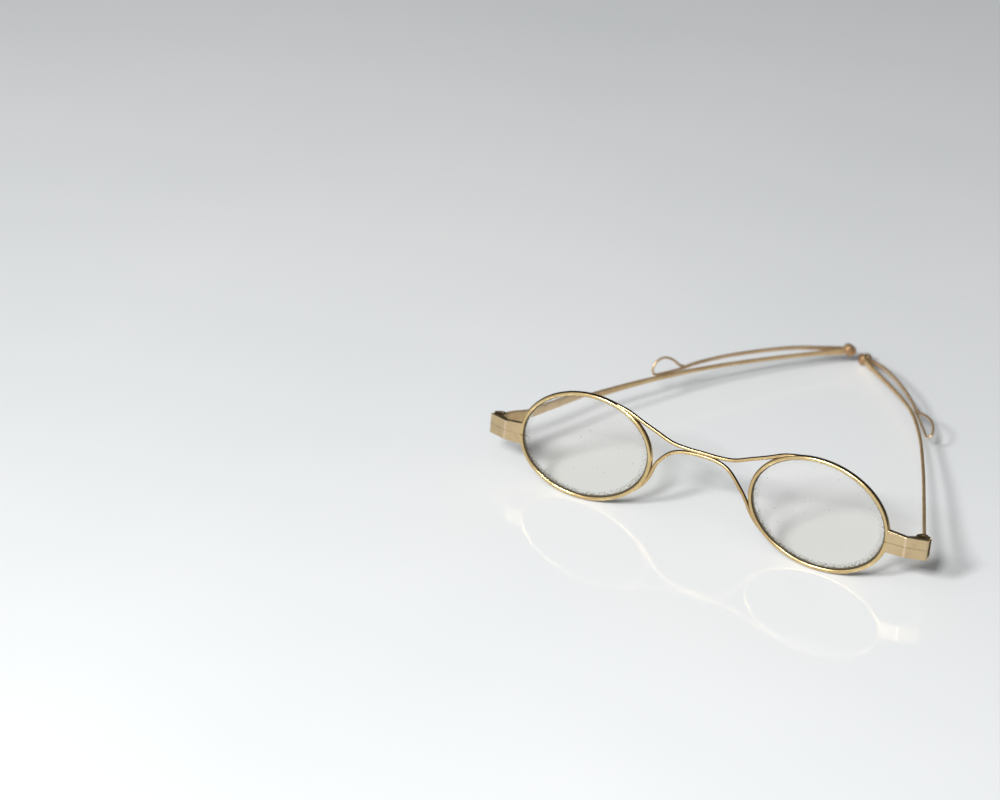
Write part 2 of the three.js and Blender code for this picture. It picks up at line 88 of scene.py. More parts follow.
REAR_LENGTHS = {"right": 35.2, "left": 48.8}
LOOPS = {"right": (13.2, 2.8, 50, 8), "left": (9.6, 4.3, 0, 3)}    # length, height, twist and pitch
# Places round the eyewire, in degrees, where the bridge wires lie, and how deep they sink into it there.
UPPER_RIM = [(104, 1.03), (112, 1.0), (119, 0.88), (125, 0.64), (131, 0.34)]
UPPER_HALF = [(17.2, 10.8), (12.6, 9.05), (8.3, 7.42), (4.2, 7.02)]
LOWER_RIM = {
    "right": [(236, 1.0), (226, 0.84), (217, 0.58), (209, 0.28), (201, 0.03)],
    "left": [(230, 1.0), (220, 0.82), (210, 0.52), (201, 0.22), (193, 0.03)],
}
LOWER_HALF = {    # from the eyewire to near the middle, each end bent a little differently
    "right": [(12.3, -1.35), (10.8, 0.6), (9.2, 2.6), (7.8, 4.1), (6.4, 5.1), (4.8, 5.75), (2.8, 6.12)],
    "left": [(12.25, 0.5), (10.9, 2.35), (9.5, 3.85), (8.0, 4.95), (6.4, 5.6), (4.6, 5.95), (2.8, 6.12)],
}

# ---- Room, light and camera, in metres, degrees and watts, and the camera's lens in millimetres ----

ROOM_TOWARD = (-0.15, -0.86, 0.49)    # where the room is brightest
ROOM_LEVELS = [(0.0, 0.03), (0.5, 0.06), (0.76, 0.1), (0.87, 0.66), (1.0, 0.88)]    # from dark to bright
TABLE_HALF = 3
CAMERA_AZIMUTH = 29.6
CAMERA_FROM_FRONT = (0.2375, -0.5171, 0.36258)
CAMERA_FORWARD = (-0.42357, 0.74585, -0.5141)
CAMERA_ROLL, CAMERA_LENS, CAMERA_FOCUS, CAMERA_F_STOP = -0.12, 98.93, 0.668, 12.5
LIGHT_DISTANCE, LIGHT_SIZE = 1.05, 0.18
LIGHTS = [("key", 23, 43, 6.2), ("side", 49, 40, 5.9)]    # name, degrees left of the camera, elevation, watts

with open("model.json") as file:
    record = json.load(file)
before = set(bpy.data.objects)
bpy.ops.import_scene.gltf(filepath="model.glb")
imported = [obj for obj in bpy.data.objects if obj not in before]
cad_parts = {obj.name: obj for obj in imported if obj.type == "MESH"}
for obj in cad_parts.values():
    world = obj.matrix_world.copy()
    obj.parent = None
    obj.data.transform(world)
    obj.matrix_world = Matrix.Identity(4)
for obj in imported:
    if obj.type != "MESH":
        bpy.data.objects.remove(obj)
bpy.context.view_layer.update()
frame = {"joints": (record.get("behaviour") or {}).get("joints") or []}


# ---- Places taken from the CAD ----

def node_centre(name):
    low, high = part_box(name)
    return (low + high) / 2


def joint_line(name, sign):
    """A joint's place in millimetres and its axis, mirrored to the right-hand side when sign is -1."""
    found = next(j for j in frame["joints"] if j["name"] == name)
    place = Vector(found["pos_m"]) / MM
    axis = Vector(found["axis"]).normalized()
    place.x *= sign
    axis.x *= sign
    return place, axis


def basis(x, y, z, place):
    matrix = Matrix((x, y, z)).transposed().to_4x4()
    matrix.translation = place
    return matrix


front_origin = (node_centre("lens_left") + node_centre("lens_right")) / 2 / MM
front_frame = Matrix.Translation(front_origin) @ Matrix.Rotation(math.radians(-FRONT_LEAN), 4, "X")
hinge_frames, pin_frames, chords = {}, {}, {}
for side, sign in SIDES.items():
    hinge_place, hinge_axis = joint_line(f"{side}_temple_hinge", sign)
    pin_place, pin_axis = joint_line(f"{side}_turn_pin", sign)
    hinge_axis *= math.copysign(1, hinge_axis.z)
    pin_axis *= math.copysign(1, pin_axis.x)
    chord = pin_place - hinge_place
    along = chord.normalized()
    chords[side] = chord.length
    hinge_frames[side] = basis(along.cross(hinge_axis), along, hinge_axis, hinge_place)
    pin_frames[side] = basis(hinge_axis.cross(pin_axis), hinge_axis, pin_axis, pin_place)


# ---- Curves and sections ----

def through(points, count):
    """count places, evenly spaced, along a centripetal Catmull-Rom curve through points."""
    p = [np.array(q, float) for q in points]
    p = [2 * p[0] - p[1], *p, 2 * p[-1] - p[-2]]
    dense = []
    for a, b, c, d in zip(p, p[1:], p[2:], p[3:]):
        t1 = math.sqrt(np.linalg.norm(b - a))
        t2 = t1 + math.sqrt(np.linalg.norm(c - b))
        t3 = t2 + math.sqrt(np.linalg.norm(d - c))
        for t in np.linspace(t1, t2, 24, endpoint=False):
            ab = a + (b - a) * t / t1
            bc = b + (c - b) * (t - t1) / (t2 - t1)
            cd = c + (d - c) * (t - t2) / (t3 - t2)
            abc = ab + (bc - ab) * t / t2
            bcd = bc + (cd - bc) * (t - t1) / (t3 - t1)
            dense.append(abc + (bcd - abc) * (t - t1) / (t2 - t1))
    dense.append(p[-2])
    return respaced(np.array(dense), count)


def respaced(points, count):
    length = np.concatenate([[0], np.cumsum(np.linalg.norm(np.diff(points, axis=0), axis=1))])
    wanted = np.linspace(0, length[-1], count)
    return np.stack([np.interp(wanted, length, points[:, i]) for i in range(points.shape[1])], axis=1)


def smooth_steps(pairs, wanted, count=400):
    """A smooth curve through (place, value) pairs, read at the wanted places."""
    curve = through(pairs, count)
    return np.interp(wanted, curve[:, 0], curve[:, 1])


def normals_2d(points):
    """The right-hand side of the direction of travel at each point of a plane path."""
    along = np.gradient(points, axis=0)
    along /= np.linalg.norm(along, axis=1)[:, None]
    return np.stack([along[:, 1], -along[:, 0]], axis=1)


def rounded_box(width, height, radius, steps=5):
    radius = min(radius, width / 2, height / 2)
    corners = []
    for quarter, (sx, sy) in enumerate([(1, 1), (-1, 1), (-1, -1), (1, -1)]):
        for angle in np.linspace(0, math.pi / 2, steps):
            turn = angle + quarter * math.pi / 2
            corners.append((sx * (width / 2 - radius) + radius * math.cos(turn),
                            sy * (height / 2 - radius) + radius * math.sin(turn)))
    return np.array(corners)


def circle(radius, sides):
    angles = np.linspace(0, 2 * math.pi, sides, endpoint=False)
    return np.stack([radius * np.cos(angles), radius * np.sin(angles)], axis=1)


# ---- Meshes: each is (vertices as an array of places in millimetres, list of faces) ----

def swept(path, across, up, sections):
    """Sections follow a path, with flat ends: a section's x is laid along across and its y along up."""
    count, around = len(path), sections.shape[-2]
    sections = np.broadcast_to(sections, (count, around, 2))
    places = path[:, None] + across[:, None] * sections[..., :1] + up[:, None] * sections[..., 1:]
    faces = []
    for i in range(count - 1):
        a, b = i * around, (i + 1) * around
        for j in range(around):
            k = (j + 1) % around
            faces.append((a + j, a + k, b + k, b + j))
    vertices = places.reshape(-1, 3)
    last = (count - 1) * around
    middle = len(vertices)
    vertices = np.vstack([vertices, places[0].mean(0), places[-1].mean(0)])
    faces += [(middle, (j + 1) % around, j) for j in range(around)]
    faces += [(middle + 1, last + j, last + (j + 1) % around) for j in range(around)]
    return vertices, faces


def turned(profile, segments=48):
    """A turned piece about z. The profile lists (radius, height) and closes on the axis or on itself."""
    vertices, rings = [], []
    for radius, height in profile:
        if radius < 1e-6:
            rings.append([len(vertices)] * segments)
            vertices.append((0, 0, height))
            continue
        rings.append(list(range(len(vertices), len(vertices) + segments)))
        for angle in np.linspace(0, 2 * math.pi, segments, endpoint=False):
            vertices.append((radius * math.cos(angle), radius * math.sin(angle), height))
    if profile[0] == profile[-1]:
        vertices = vertices[:-segments]
        rings[-1] = rings[0]
    faces = []
    for low, high in zip(rings, rings[1:]):
        for j in range(segments):
            k = (j + 1) % segments
            corners = [low[j], low[k], high[k], high[j]]
            faces.append(tuple(dict.fromkeys(corners)))
    return np.array(vertices, float), [f for f in faces if len(f) > 2]


def rounded_profile(corners, radius, steps=4):
    """Rounds the corners of a profile, apart from its two ends."""
    result = [corners[0]]
    for before, corner, after in zip(corners, corners[1:], corners[2:]):
        before, corner, after = (np.array(p, float) for p in (before, corner, after))
        start = corner + (before - corner) * min(radius / np.linalg.norm(before - corner), 0.5)
        end = corner + (after - corner) * min(radius / np.linalg.norm(after - corner), 0.5)
        for t in np.linspace(0, 1, steps):
            result.append(tuple((1 - t) ** 2 * start + 2 * t * (1 - t) * corner + t ** 2 * end))
    return [*result, corners[-1]]


def cylinder(radius, low, high, segments=48):
    return turned([(0, low), (radius, low), (radius, high), (0, high)], segments)


def prism(outline, low, high):
    """A closed outline in x and y, drawn anticlockwise, between two heights."""
    count = len(outline)
    vertices = [(x, y, low) for x, y in outline] + [(x, y, high) for x, y in outline]
    sides = [(i, (i + 1) % count, count + (i + 1) % count, count + i) for i in range(count)]
    return np.array(vertices, float), [tuple(range(count))[::-1], tuple(range(count, 2 * count)), *sides]


def moved(mesh, matrix):
    vertices, faces = mesh
    matrix = np.array(matrix)
    return vertices @ matrix[:3, :3].T + matrix[:3, 3], faces


def joined(*meshes):
    vertices, faces, base = [], [], 0
    for points, polygons in meshes:
        vertices.append(points)
        faces += [tuple(i + base for i in polygon) for polygon in polygons]
        base += len(points)
    return np.vstack(vertices), faces


def volume(mesh):
    vertices, faces = mesh
    total = 0.0
    for face in faces:
        a = vertices[face[0]]
        for i, j in zip(face[1:], face[2:]):
            total += np.dot(a, np.cross(vertices[i], vertices[j]))
    return total / 6


def outward(mesh):
    """The mesh with its faces turned outward."""
    return (mesh[0], [face[::-1] for face in mesh[1]]) if volume(mesh) < 0 else mesh


def upright(mesh):
    """Turns a prism drawn in x (across) and y (up) so that its thickness runs along y."""
    return moved(mesh, Matrix.Rotation(math.pi / 2, 4, "X"))


def to_object(name, mesh):
    vertices, faces = mesh
    data = bpy.data.meshes.new(name)
    data.from_pydata([tuple(v) for v in vertices], [], faces)
    data.validate()
    made = bpy.data.objects.new(name, data)
    bpy.context.scene.collection.objects.link(made)
    return made


def settled(made):
    """The object's modifiers become part of its mesh."""
    graph = bpy.context.evaluated_depsgraph_get()
    data = bpy.data.meshes.new_from_object(made.evaluated_get(graph), depsgraph=graph)
    made.modifiers.clear()
    made.data = data
    return made


def carved(base, *steps):
    """base after joins and cuts, each step being "UNION", "DIFFERENCE" or "INTERSECT" and a mesh."""
    made = to_object("work", base)
    for operation, mesh in steps:
        tool = to_object("tool", mesh)
        modifier = made.modifiers.new(operation, "BOOLEAN")
        modifier.operation = operation
        modifier.object = tool
        modifier.solver = "MANIFOLD"
        settled(made)
        bpy.data.objects.remove(tool)
    vertices = np.array([v.co for v in made.data.vertices], float)
    faces = [tuple(p.vertices) for p in made.data.polygons]
    bpy.data.objects.remove(made)
    return vertices, faces


PLATE_FACE = 0.8      # square millimetres; smaller faces of an end piece belong to its round parts
SHARP_ANGLE = 32      # degrees between two faces with a sharp edge


def weigh_edges(made, angle):
    """Marks an end piece's front edges to be rounded, and those along its split only a little."""
    data = made.data
    to_front = front_frame.inverted()
    turn = to_front.to_3x3()
    beside = {}
    for face in data.polygons:
        for key in face.edge_keys:
            beside.setdefault(key, []).append(face)
    weights = []
    for line in data.edges:
        faces = sorted(beside.get(line.key, []), key=lambda face: (turn @ face.normal).y)
        weight = 0.0
        if len(faces) == 2 and min(f.area for f in faces) > PLATE_FACE:
            facing = (turn @ faces[0].normal).y < -0.8
            if facing and faces[0].normal.angle(faces[1].normal) > math.radians(angle):
                first, second = (data.vertices[i].co for i in line.vertices)
                middle = to_front @ ((first + second) / 2)
                weight = 0.2 if abs(middle.z - LUG_SPLIT) < 0.3 else 1.0
        weights.append(weight)
    data.attributes.new("bevel_weight_edge", "FLOAT", "EDGE").data.foreach_set("value", weights)


def flat_faces(made, smallest=0.45, closest=50):
    """Wide faces shade as flat ones and the narrow faces along their edges as roundings between them."""
    data = made.data
    wide_at, narrow_at = {}, {}
    for face in data.polygons:
        for vertex in face.vertices:
            (wide_at if face.area > smallest else narrow_at).setdefault(vertex, []).append(face)
    limit = math.cos(math.radians(closest))
    normals = []
    for face in data.polygons:
        for vertex in face.vertices:
            if face.area > smallest:
                normals.append(face.normal.copy())
                continue
            near = [f for f in wide_at.get(vertex, []) if f.normal.dot(face.normal) > limit]
            near = near or [f for f in narrow_at[vertex] if f.normal.dot(face.normal) > limit]
            blend = sum((f.normal * (1 if f.area > smallest else f.area + 1e-6) for f in near), Vector())
            normals.append(blend.normalized())
    data.normals_split_custom_set(normals)


def piece(name, mesh, material, body, node, sign=1, edge=0):
    """A finished piece: mirrored for the left-hand side, edges rounded, riding on its body."""
    vertices, faces = mesh
    vertices = vertices * np.array([sign, 1, 1])
    if sign < 0:
        faces = [polygon[::-1] for polygon in faces]
    made = to_object(name, (vertices, faces))
    if edge:
        clean = bmesh.new()
        clean.from_mesh(made.data)
        bmesh.ops.remove_doubles(clean, verts=clean.verts, dist=0.004)
        bmesh.ops.dissolve_limit(clean, angle_limit=math.radians(0.6), verts=clean.verts, edges=clean.edges)
        clean.to_mesh(made.data)
        clean.free()
        weigh_edges(made, SHARP_ANGLE)
        bevel = made.modifiers.new("edges", "BEVEL")
        bevel.width = edge
        bevel.segments = 3
        bevel.limit_method = "WEIGHT"
        settled(made)
    made.data.shade_smooth()
    if edge:
        flat_faces(made)
    else:
        made.data.set_sharp_from_angle(angle=math.radians(SHARP_ANGLE))
    made.data.transform(Matrix.Scale(MM, 4))
    made.data.materials.append(material)
    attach(made, body)
    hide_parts(node)
    return made


# ---- Materials ----

class Nodes:
    """Short calls for building a material's node tree."""

    def __init__(self, name):
        self.material = bpy.data.materials.new(name)
        self.material.use_nodes = True
        self.tree = self.material.node_tree
        self.tree.nodes.clear()
        self.output = self.tree.nodes.new("ShaderNodeOutputMaterial")
        self.place = self.add("ShaderNodeTexCoord").outputs["Object"]

    def add(self, kind, inputs=(), **settings):
        made = self.tree.nodes.new(kind)
        for key, value in settings.items():
            setattr(made, key, value)
        for key, value in dict(inputs).items():
            if isinstance(value, bpy.types.NodeSocket):
                self.tree.links.new(value, made.inputs[key])
            else:
                made.inputs[key].default_value = value
        return made

    def noise(self, size, detail=3, rough=0.55):
        """Noise whose features are about size millimetres, from 0 to 1."""
        made = self.add("ShaderNodeTexNoise", {
            "Vector": self.place, "Scale": 1 / (size * MM), "Detail": detail, "Roughness": rough})
        return made.outputs["Fac"]

    def mark(self, name):
        """A value that the mesh carries."""
        return self.add("ShaderNodeAttribute", attribute_name=name).outputs["Fac"]

    def span(self, value, low, high, to_low=0.0, to_high=1.0):
        """value from low..high laid onto to_low..to_high, and held there outside."""
        made = self.add("ShaderNodeMapRange", {
            "Value": value, "From Min": low, "From Max": high, "To Min": to_low, "To Max": to_high})
        return made.outputs["Result"]

    def math(self, operation, a, b=0.0, c=0.0, clamp=False):
        made = self.add("ShaderNodeMath", {0: a, 1: b, 2: c}, operation=operation, use_clamp=clamp)
        return made.outputs["Value"]

    def scaled(self, value, factor, clamp=False):
        return self.math("MULTIPLY", value, factor, clamp=clamp)

    def blend(self, amount, a, b):
        """Colour a where amount is 0 and colour b where it is 1."""
        made = self.add("ShaderNodeMix", {0: amount, 6: a, 7: b}, data_type="RGBA")
        return made.outputs[2]

    def near(self, place, radius):
        """1 at a place in millimetres, falling to 0 at the radius."""
        there = tuple(Vector(place) * MM)
        made = self.add("ShaderNodeVectorMath", {0: self.place, 1: there}, operation="DISTANCE")
        return self.span(made.outputs["Value"], radius * MM, radius * MM * 0.25)


def colour(red, green, blue):
    """An 8-bit display colour as the linear one that shaders use."""
    linear = [((c / 255 + 0.055) / 1.055) ** 2.4 if c > 10 else c / 255 / 12.92 for c in (red, green, blue)]
    return (*linear, 1)


UP_AND_BACK = (0.15, 0.62, 0.77)    # the side of the wires painted dark, a painted dark reflection of the dim room behind and above
PAINTED_DARK_REFLECTION = colour(26, 17, 9)
# A painted highlight for the narrow face along an end piece's fold.
FOLD_SHEEN = colour(226, 202, 174)
GOLD = colour(226, 203, 150)
BROWN = colour(178, 140, 92)
DARK = colour(62, 44, 24)


def gold_with_painted_shade(name, base, brown, rough=0.2, tarnish=0.5, pits=0.5, relief=0.012, metal=1.0,
              shade=(0.0, 0.3, 0.8), plate=False, stains=()):
    """Old gold: warm and brownish patches, brown film with painted shade in the recesses, pits and fine
    scratches.

    shade is how strongly the side that faces up and back is painted dark, a painted dark reflection, and
    where this starts and ends.
    """
    n = Nodes(name)
    broad = n.noise(9, 3)
    patch = n.noise(2.2, 5, 0.6)
    fine = n.noise(0.35, 4, 0.6)
    grain = n.noise(0.07, 2)

    # Brown film and painted shade darken the recesses that ambient occlusion finds; on an end piece, the
    # outer end face is painted dark as well, a painted dark reflection.
    near = n.add("ShaderNodeAmbientOcclusion", {"Distance": 0.6 * MM}, samples=8, only_local=False)
    occlusion_shade = n.span(near.outputs["AO"], 0.35, 0.85, 1, 0)
    film_and_shade = n.scaled(occlusion_shade, n.span(fine, 0.3, 0.7, 0.75, 1.15), clamp=True)
    if plate:
        # The outer end face is painted dark: a painted dark reflection.
        film_and_shade = n.math("MAXIMUM", film_and_shade, n.mark("end"))
    # Painted dark reflection: the side that faces up and back is painted towards nearly black.
    normal = n.add("ShaderNodeNewGeometry").outputs["Normal"]
    facing = n.add("ShaderNodeVectorMath", {0: normal, 1: UP_AND_BACK}, operation="DOT_PRODUCT")
    strength, start, full = shade
    painted_dark_side = n.span(facing.outputs["Value"], start, full)
    painted_dark_side = n.scaled(painted_dark_side, n.span(patch, 0.3, 0.6, 0.9 * strength, strength))

    # Colour: the clean gold first, then what lies on it.
    patches = n.scaled(n.span(patch, 0.48, 0.72), tarnish, clamp=True)
    warmer = tuple(0.55 * a + 0.45 * b for a, b in zip(base, brown))
    toned = n.blend(n.span(broad, 0.35, 0.65), base, warmer)
    toned = n.blend(patches, toned, brown)
    # Painted shade in the recesses, with the real brown film there, then the painted dark reflection on the
    # side that faces up and back.
    toned = n.blend(n.scaled(film_and_shade, 0.85), toned, DARK)
    toned = n.blend(painted_dark_side, toned, PAINTED_DARK_REFLECTION)
    cell = n.add("ShaderNodeTexVoronoi", {"Vector": n.place, "Scale": 1 / (0.75 * MM), "Randomness": 1.0})
    keep = n.scaled(n.span(n.noise(1.3, 2), 0.52, 0.62), pits)
    pit = n.scaled(n.span(cell.outputs["Distance"], 0.16, 0.09), keep, clamp=True)
    toned = n.blend(n.scaled(pit, 0.8), toned, DARK)
    for place, radius, stain, depth in stains:
        amount = n.scaled(n.near(place, radius), n.span(fine, 0.35, 0.6, 0.35, 1))
        toned = n.blend(n.scaled(amount, depth, clamp=True), toned, stain)
    if plate:
        # A painted highlight along the fold's narrow face.
        fold_sheen = n.scaled(n.mark("fold"), n.span(fine, 0.25, 0.6, 0.6, 1))
        toned = n.blend(fold_sheen, toned, FOLD_SHEEN)

    # Fine scratches, and what is dull or raised.
    scratch = n.math("ABSOLUTE", n.math("SUBTRACT", n.noise(0.5, 3, 0.7), 0.5))
    lines = n.span(scratch, 0.012, 0, 0, 1)
    roughness = n.span(patch, 0.35, 0.7, rough - 0.03, rough + 0.06)
    roughness = n.math("ADD", roughness, n.scaled(patches, 0.12))
    roughness = n.math("ADD", roughness, n.scaled(film_and_shade, 0.3))
    roughness = n.math("ADD", roughness, n.scaled(lines, 0.12), clamp=True)
    height = n.math("MULTIPLY_ADD", n.noise(1.6, 2), 0.9, n.scaled(fine, 0.25))
    height = n.math("SUBTRACT", height, n.scaled(pit, 0.5))
    height = n.math("SUBTRACT", height, n.scaled(lines, 0.05))
    height = n.math("MULTIPLY_ADD", grain, 0.03, height)
    bump = n.add("ShaderNodeBump", {"Strength": 0.6, "Distance": relief * MM, "Height": height})
    shader = n.add("ShaderNodeBsdfPrincipled", {
        "Base Color": toned, "Metallic": n.math("SUBTRACT", metal, n.scaled(film_and_shade, 0.35)),
        "Roughness": roughness, "Normal": bump.outputs["Normal"]})
    n.tree.links.new(shader.outputs[0], n.output.inputs[0])
    return n.material


def lens_glass(name):
    """Clear glass with a ragged dark line along its edge, partly soiling and partly painted shade, faint
    smears and a few specks of dust.
    """
    n = Nodes(name)
    inset = n.mark("inset")
    low = n.mark("lowness")
    ragged = n.noise(0.5, 5, 0.7)

    # Soiling and painted shade lie in a ragged line along the edge, most of it low down, with crumbs inside
    # it and a few specks elsewhere.
    width = n.math("MULTIPLY_ADD", low, 0.3, 0.1)
    reach = n.scaled(n.span(ragged, 0.35, 0.72, 0.35, 1.5), width)
    line = n.span(n.math("SUBTRACT", n.math("SUBTRACT", inset, LENS_INSET), reach), -0.06, 0.06, 1, 0)
    crumbs = n.scaled(n.span(n.noise(0.3, 3, 0.7), 0.53, 0.58), n.span(inset, 1.7, 0.75), clamp=True)
    crumbs = n.scaled(crumbs, n.span(low, 0.3, 0.85, 0.1, 1.0), clamp=True)
    specks = n.scaled(n.span(n.noise(0.55, 1), 0.775, 0.80), 0.7, clamp=True)
    edge_soil_and_shade = n.math("MAXIMUM", n.scaled(line, 0.92), n.math("MAXIMUM", crumbs, specks), clamp=True)

    # Shadows and soft light pass straight through, so that the table below stays bright.
    smear = n.span(n.noise(5, 4, 0.6), 0.45, 0.8, 0.0, 0.035)
    glass = n.add("ShaderNodeBsdfPrincipled", {
        "Base Color": colour(255, 254, 252), "Roughness": n.scaled(smear, 1.2), "IOR": 1.5,
        "Transmission Weight": 1.0})
    clear = n.add("ShaderNodeBsdfTransparent", {"Color": colour(248, 248, 246)})
    rays = n.add("ShaderNodeLightPath")
    passing = n.math("MAXIMUM", rays.outputs["Is Shadow Ray"], rays.outputs["Is Diffuse Ray"])
    see = n.add("ShaderNodeMixShader", {0: passing, 1: glass.outputs[0], 2: clear.outputs[0]})
    soil_and_shade_colour = n.blend(n.span(ragged, 0.4, 0.65), colour(52, 48, 34), colour(96, 84, 58))
    soil_and_shade_shader = n.add("ShaderNodeBsdfPrincipled", {"Base Color": soil_and_shade_colour, "Roughness": 0.8})
    whole = n.add("ShaderNodeMixShader", {0: edge_soil_and_shade, 1: see.outputs[0], 2: soil_and_shade_shader.outputs[0]})
    n.tree.links.new(whole.outputs[0], n.output.inputs[0])
    return n.material


# Rims and bridge get a painted dark reflection on their side that faces up and back; the bridge's base colour
# is a darker copy of the gold, painted shade.
rim_gold_painted_dark_top = gold_with_painted_shade(
    "rim_gold_painted_dark_top", GOLD, BROWN, rough=0.19, tarnish=0.4, pits=0.25, relief=0.005, shade=(0.75, 0.25, 0.7))
bridge_gold_painted_dark_top = gold_with_painted_shade(
    "bridge_gold_painted_dark_top", colour(214, 189, 140), BROWN, rough=0.26, tarnish=0.5, pits=0.25, relief=0.001,
    shade=(0.97, -0.1, 0.28))
plate_gold_painted_sheen_and_shade = gold_with_painted_shade(
    "plate_gold_painted_sheen_and_shade", colour(210, 190, 150), colour(184, 154, 116), rough=0.22, tarnish=0.4, pits=0.4,
    relief=0.004, metal=0.95, plate=True)
temple_gold = gold_with_painted_shade(
    "temple_gold", colour(218, 190, 144), colour(188, 152, 110), rough=0.32, tarnish=0.5, pits=0.4,
    relief=0.008, metal=0.72, stains=[((34.5, 27.5, 5.0), 5, colour(58, 66, 44), 0.85)])
rear_gold = gold_with_painted_shade(
    "rear_gold", colour(212, 184, 144), colour(176, 142, 108), rough=0.34, tarnish=0.6, pits=0.4,
    relief=0.008, metal=0.72)
knob_gold = gold_with_painted_shade(
    "knob_gold", colour(184, 150, 112), colour(150, 114, 82), rough=0.36, tarnish=0.7, pits=0.8, metal=0.75)
screw_brass = gold_with_painted_shade(
    "screw_brass", colour(150, 118, 74), colour(104, 76, 46), rough=0.34, tarnish=0.8, pits=0.8)
lens_clear = lens_glass("lens_clear")


# ---- Front: eyewires, lenses, bridge and end pieces, drawn in the leaning front's frame ----

def oval_point(angle, outset=0.0):
    """A place on the right eyewire's centreline, moved outward by outset."""
    droop = math.radians(-EYE_DROOP)
    place = np.array([EYE_MAJOR * math.cos(angle), EYE_MINOR * math.sin(angle)])
    normal = place / np.array([EYE_MAJOR ** 2, EYE_MINOR ** 2])
    normal /= np.linalg.norm(normal)
    turn = np.array([[math.cos(droop), -math.sin(droop)], [math.sin(droop), math.cos(droop)]])
    x, z = turn @ (place + normal * outset)
    return np.array([EYE_SPACING + x, 0, z]), np.array([*(turn @ normal)])


def split_angle():
    droop = math.radians(EYE_DROOP)
    return math.asin((LUG_SPLIT + EYE_MAJOR * math.sin(droop)) / (EYE_MINOR * math.cos(droop)))


def rim_section():
    """Half round outside, with rounded lips and the lens groove inside. x is outward and y backward."""
    half_depth, half_width = RIM_DEPTH / 2, RIM_WIDTH / 2
    angles = np.linspace(0.02, math.pi - 0.02, 25)
    outside = [(half_width * math.sin(a), half_depth * math.cos(a)) for a in angles]
    lip = [(-half_width * 0.5, -half_depth), (-half_width, -half_depth * 0.84),
           (-half_width, -RIM_GROOVE_WIDTH / 2), (-half_width + RIM_GROOVE_DEPTH, 0)]
    inner = [(0, -half_depth), *lip, *[(x, -y) for x, y in lip[-2::-1]], (0, half_depth)]
    inside = rounded_profile(inner, 0.09, 4)
    return np.array([*outside, *inside[1:-1]])


def eyewire_mesh():
    half_gap = RIM_GAP / 2 / EYE_MINOR
    start = split_angle() + half_gap
    angles = np.linspace(start, start + 2 * math.pi - 2 * half_gap, 241)
    places, normals = zip(*(oval_point(angle) for angle in angles))
    across = np.array([(n[0], 0, n[1]) for n in normals])
    up = np.tile([0.0, 1.0, 0.0], (len(angles), 1))
    section = rim_section()[::-1]
    return swept(np.array(places), across, up, section)


def lens_mesh(rings=30, segments=160):
    """A lens with two shallow domes and a V edge, and how far each vertex is from the edge."""
    major = EYE_MAJOR - LENS_INSET
    minor = EYE_MINOR - LENS_INSET
    profile = []
    reach = 1 - LENS_BEVEL / major
    parts = [*np.linspace(0, 0.8, rings // 2, endpoint=False), *np.linspace(0.8, 1, rings // 2)]
    for part in parts:
        profile.append((part * reach, LENS_CENTRE / 2 - (LENS_CENTRE - LENS_EDGE) / 2 * part ** 2))
    front = [(r, -h) for r, h in profile]
    beside_tip = 1 - LENS_V_IN * LENS_BEVEL / major
    whole = [*front, (beside_tip, -LENS_V_HALF), (1, 0), (beside_tip, LENS_V_HALF), *profile[::-1]]
    vertices, faces = turned(whole, segments)
    inset = (1 - np.hypot(vertices[:, 0], vertices[:, 1])) * minor
    placed = np.stack([vertices[:, 0] * major, vertices[:, 2], vertices[:, 1] * minor], axis=1)
    faces = [face[::-1] for face in faces]
    droop = Matrix.Rotation(math.radians(EYE_DROOP), 4, "Y")
    placed, faces = moved((placed, faces), Matrix.Translation((EYE_SPACING, 0, 0)) @ droop)
    return (placed, faces), inset


def bridge_half(rim_places, between):
    """Places from inside the right eyewire to near the middle of the bridge."""
    touching = RIM_WIDTH / 2 + BRIDGE_RADIUS
    half = [oval_point(math.radians(angle), touching - sink)[0] for angle, sink in rim_places]
    return half + [np.array([x, 0, z]) for x, z in between]


def eased(path, spread):
    """The path with its sharper bends softened over about spread steps. Its ends stay where they are."""
    reach = 3 * spread
    weights = np.exp(-0.5 * (np.arange(-reach, reach + 1) / spread) ** 2)
    weights /= weights.sum()
    before = 2 * path[0] - path[reach:0:-1]
    after = 2 * path[-1] - path[-2:-reach - 2:-1]
    longer = np.concatenate([before, path, after])
    return np.stack([np.convolve(column, weights, "valid") for column in longer.T], axis=1)


def bridge_wire(right_half, left_half, middle, count=260):
    """A round wire from eyewire to eyewire. Its ends thin out and sink into the eyewires as solder does."""
    other = [point * np.array([-1, 1, 1]) for point in left_half[::-1]]
    path = eased(through([*right_half, (0, 0, middle), *other], count)[:, [0, 2]], 4)
    side = normals_2d(path)
    centre = np.stack([path[:, 0], np.zeros(count), path[:, 1]], axis=1)
    across = np.stack([side[:, 0], np.zeros(count), side[:, 1]], axis=1)
    up = np.tile([0.0, 1.0, 0.0], (count, 1))
    ends = np.minimum(np.linspace(0, 1, count), np.linspace(1, 0, count))
    taper = smooth_steps(BRIDGE_TAPER, ends)
    return swept(centre, across, up, circle(BRIDGE_RADIUS, 20)[None] * taper[:, None, None])


